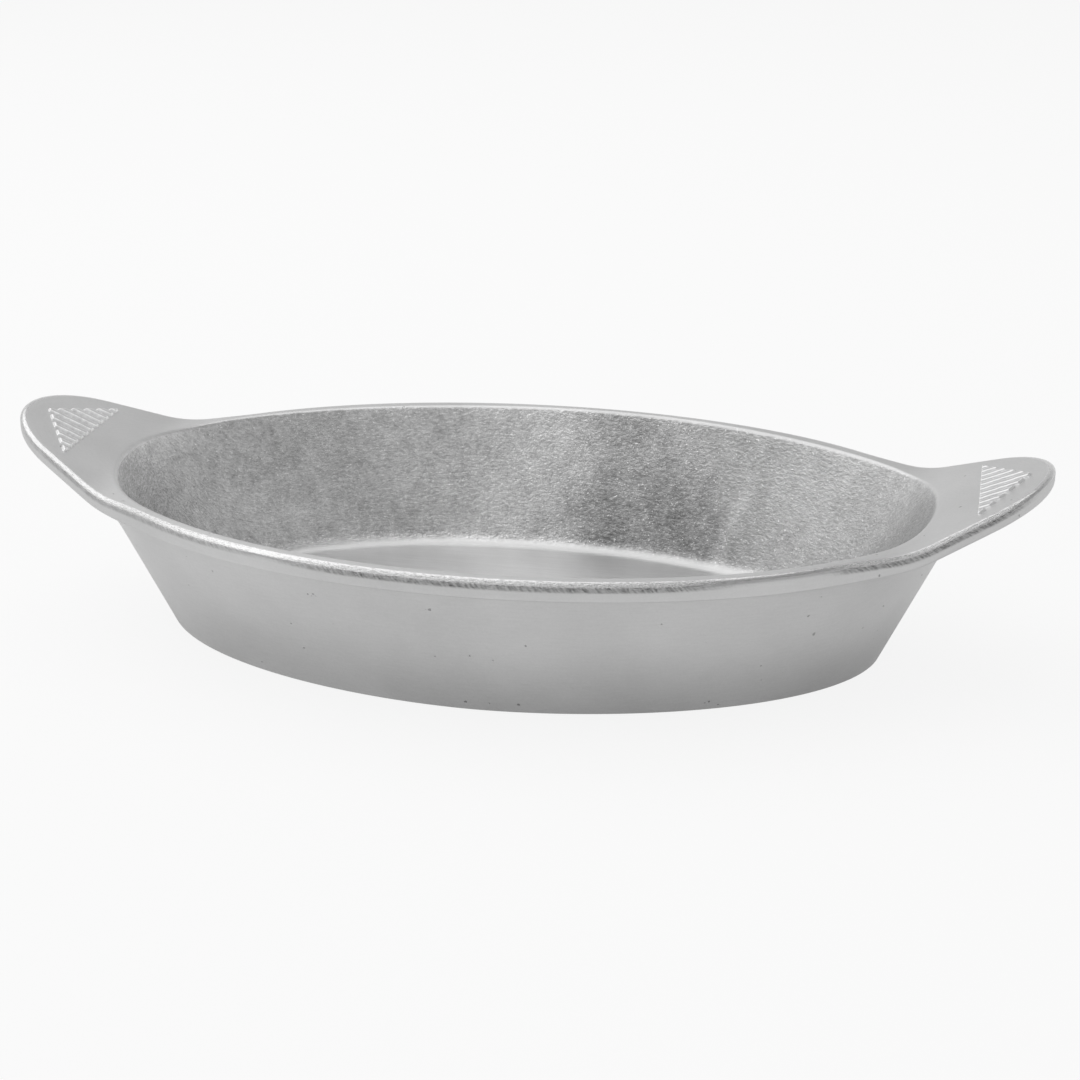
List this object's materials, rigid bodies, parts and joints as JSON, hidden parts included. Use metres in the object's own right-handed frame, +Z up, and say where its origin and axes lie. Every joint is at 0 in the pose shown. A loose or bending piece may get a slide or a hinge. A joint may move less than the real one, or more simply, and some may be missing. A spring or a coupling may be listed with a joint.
{
  "type": "gratin dish",
  "caption": "Shallow oval cast metal gratin dish with sloping walls, a thickened rim edge and two turned-up lug handles with ribbed grips.",
  "frame": {"origin": "centre of the flat base, on the surface that the dish stands on", "axes": "+X towards one lug handle along the dish's length, +Y across its width, +Z up"},
  "size_m": [0.26, 0.14, 0.0518],
  "materials": {
    "cast_metal": "sand cast, satin outside and on the lugs, grainy inside, with ground and polished rim edges"
  },
  "bodies": {
    "root": {"dish": "cast_metal"}
  },
  "joints": []
}
